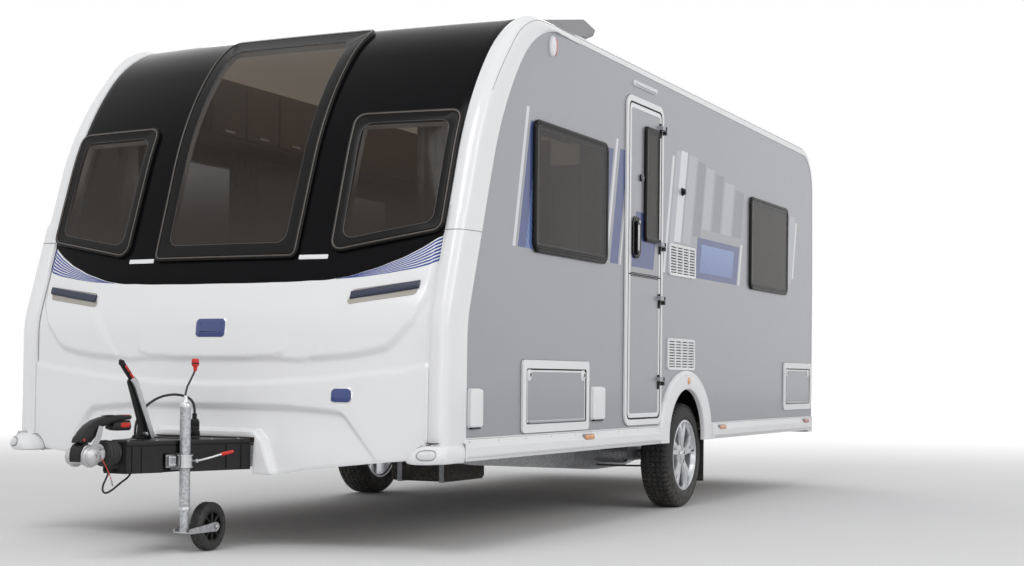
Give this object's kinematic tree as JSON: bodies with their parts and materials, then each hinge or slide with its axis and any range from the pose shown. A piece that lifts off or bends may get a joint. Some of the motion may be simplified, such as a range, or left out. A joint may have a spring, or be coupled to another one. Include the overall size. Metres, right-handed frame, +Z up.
{
  "type": "touring caravan",
  "caption": "Touring caravan with a curved window front, a side entrance door, road wheels on one axle, corner steadies and a drawbar with jockey wheel and ball coupling.",
  "frame": {"origin": "on the ground, at the middle of the whole vehicle's footprint box", "axes": "+Z up, drawbar along -Y, door side +X"},
  "size_m": [2.472, 7.38, 2.8039],
  "materials": {
    "gel_white": "gloss",
    "gel_black": "gloss",
    "side_grey": "satin metallic",
    "floor_board": "matt",
    "cabinet_wood": "satin",
    "acrylic": "gloss",
    "black_plastic": "matt",
    "white_plastic": "satin",
    "lens": "gloss",
    "galvanised": "galvanised",
    "silver_cast": "satin",
    "alloy": "painted silver",
    "tyre": "matt",
    "rubber": "matt",
    "seat_fabric": "woven",
    "cable_black": "satin",
    "cable_red": "gloss"
  },
  "bodies": {
    "root": {"axle": "galvanised", "breakaway_cable": "cable_red", "breakaway_clip": "galvanised", "chassis_members": "galvanised", "coupling_gaiter": "rubber", "coupling_handle": "black_plastic", "coupling_head": "silver_cast", "coupling_shaft": "galvanised", "door_frame": "white_plastic", "drawbar_cover": "black_plastic", "drawbar_frame": "galvanised", "exterior_lamps": "lens", "floor_panel": "floor_board", "front_corner_mouldings": "gel_white", "front_panel_lower": "gel_white", "front_panel_upper": "gel_black", "front_pods": "white_plastic", "front_windows": "acrylic", "furniture": "cabinet_wood", "handbrake_lever": "galvanised", "hatch_frames": "white_plastic", "jockey_clamp": "galvanised", "jockey_crank": "galvanised", "jockey_outer_tube": "galvanised", "lead_lower": "cable_black", "lead_plug": "black_plastic", "lead_upper": "cable_black", "mudflaps": "rubber", "rear_bumper": "white_plastic", "rear_panel": "gel_white", "roof_aerial": "white_plastic", "roof_edge_mouldings": "gel_white", "roof_lights": "white_plastic", "roof_panel": "gel_white", "seat_cushions": "seat_fabric", "side_and_rear_windows": "acrylic", "side_wall_nearside": "side_grey", "side_wall_offside": "side_grey", "skirt_rails": "white_plastic", "underfloor_tank": "black_plastic", "underframe_fittings": "galvanised", "wall_fittings": "white_plastic", "wheel_arch_trims": "white_plastic", "wheel_boxes": "black_plastic"},
    "wheel_nearside": {"tyre_nearside": "tyre", "rim_nearside": "alloy"},
    "wheel_offside": {"tyre_offside": "tyre", "rim_offside": "alloy"},
    "door_upper_leaf": {"door_upper": "side_grey", "door_window": "acrylic"},
    "door_lower_leaf": {"door_lower": "side_grey"},
    "hatch_front": {"hatch_front_lid": "side_grey"},
    "hatch_rear": {"hatch_rear_lid": "side_grey"},
    "jockey_inner": {"jockey_inner_tube": "galvanised"},
    "jockey_caster": {"jockey_fork": "galvanised"},
    "jockey_roller": {"jockey_wheel": "rubber"},
    "steady_fn": {"steady_front_nearside": "galvanised"},
    "steady_fo": {"steady_front_offside": "galvanised"},
    "steady_rn": {"steady_rear_nearside": "galvanised"},
    "steady_ro": {"steady_rear_offside": "galvanised"}
  },
  "joints": [
    {"name": "wheel_nearside_spin", "type": "hinge", "parent": "root", "child": "wheel_nearside", "pos_m": [1.09, 0.7, 0.325], "axis": [1, 0, 0], "continuous": true},
    {"name": "wheel_offside_spin", "type": "hinge", "parent": "root", "child": "wheel_offside", "pos_m": [-1.09, 0.7, 0.325], "axis": [1, 0, 0], "continuous": true},
    {"name": "door_upper_hinge", "type": "hinge", "parent": "root", "child": "door_upper_leaf", "pos_m": [1.229, 0.162, 1.9], "axis": [0, 0, 1], "range_deg": [0, 175]},
    {"name": "door_lower_hinge", "type": "hinge", "parent": "root", "child": "door_lower_leaf", "pos_m": [1.229, 0.162, 1], "axis": [0, 0, 1], "range_deg": [0, 175]},
    {"name": "hatch_front_hinge", "type": "hinge", "parent": "root", "child": "hatch_front", "pos_m": [1.213, -1.38, 0.579], "axis": [0, 1, 0], "range_deg": [0, 110]},
    {"name": "hatch_rear_hinge", "type": "hinge", "parent": "root", "child": "hatch_rear", "pos_m": [1.213, 3.221, 0.629], "axis": [0, 1, 0], "range_deg": [0, 110]},
    {"name": "jockey_slide", "type": "slide", "parent": "root", "child": "jockey_inner", "axis": [0, 0, 1], "range_m": [0, 0.072]},
    {"name": "jockey_swivel", "type": "hinge", "parent": "jockey_inner", "child": "jockey_caster", "pos_m": [0.172, -3.15, 0.1], "axis": [0, 0, 1], "continuous": true},
    {"name": "jockey_wheel_spin", "type": "hinge", "parent": "jockey_caster", "child": "jockey_roller", "pos_m": [0.172, -2.969, 0.11], "axis": [1, 0, 0], "continuous": true},
    {"name": "steady_front_nearside_hinge", "type": "hinge", "parent": "root", "child": "steady_fn", "pos_m": [0.935, -1.43, 0.416], "axis": [1, 0, 0], "range_deg": [0, 42]},
    {"name": "steady_front_offside_hinge", "type": "hinge", "parent": "root", "child": "steady_fo", "pos_m": [-0.935, -1.43, 0.416], "axis": [1, 0, 0], "range_deg": [0, 42]},
    {"name": "steady_rear_nearside_hinge", "type": "hinge", "parent": "root", "child": "steady_rn", "pos_m": [0.935, 2.72, 0.416], "axis": [-1, 0, 0], "range_deg": [0, 42]},
    {"name": "steady_rear_offside_hinge", "type": "hinge", "parent": "root", "child": "steady_ro", "pos_m": [-0.935, 2.72, 0.416], "axis": [-1, 0, 0], "range_deg": [0, 42]}
  ]
}
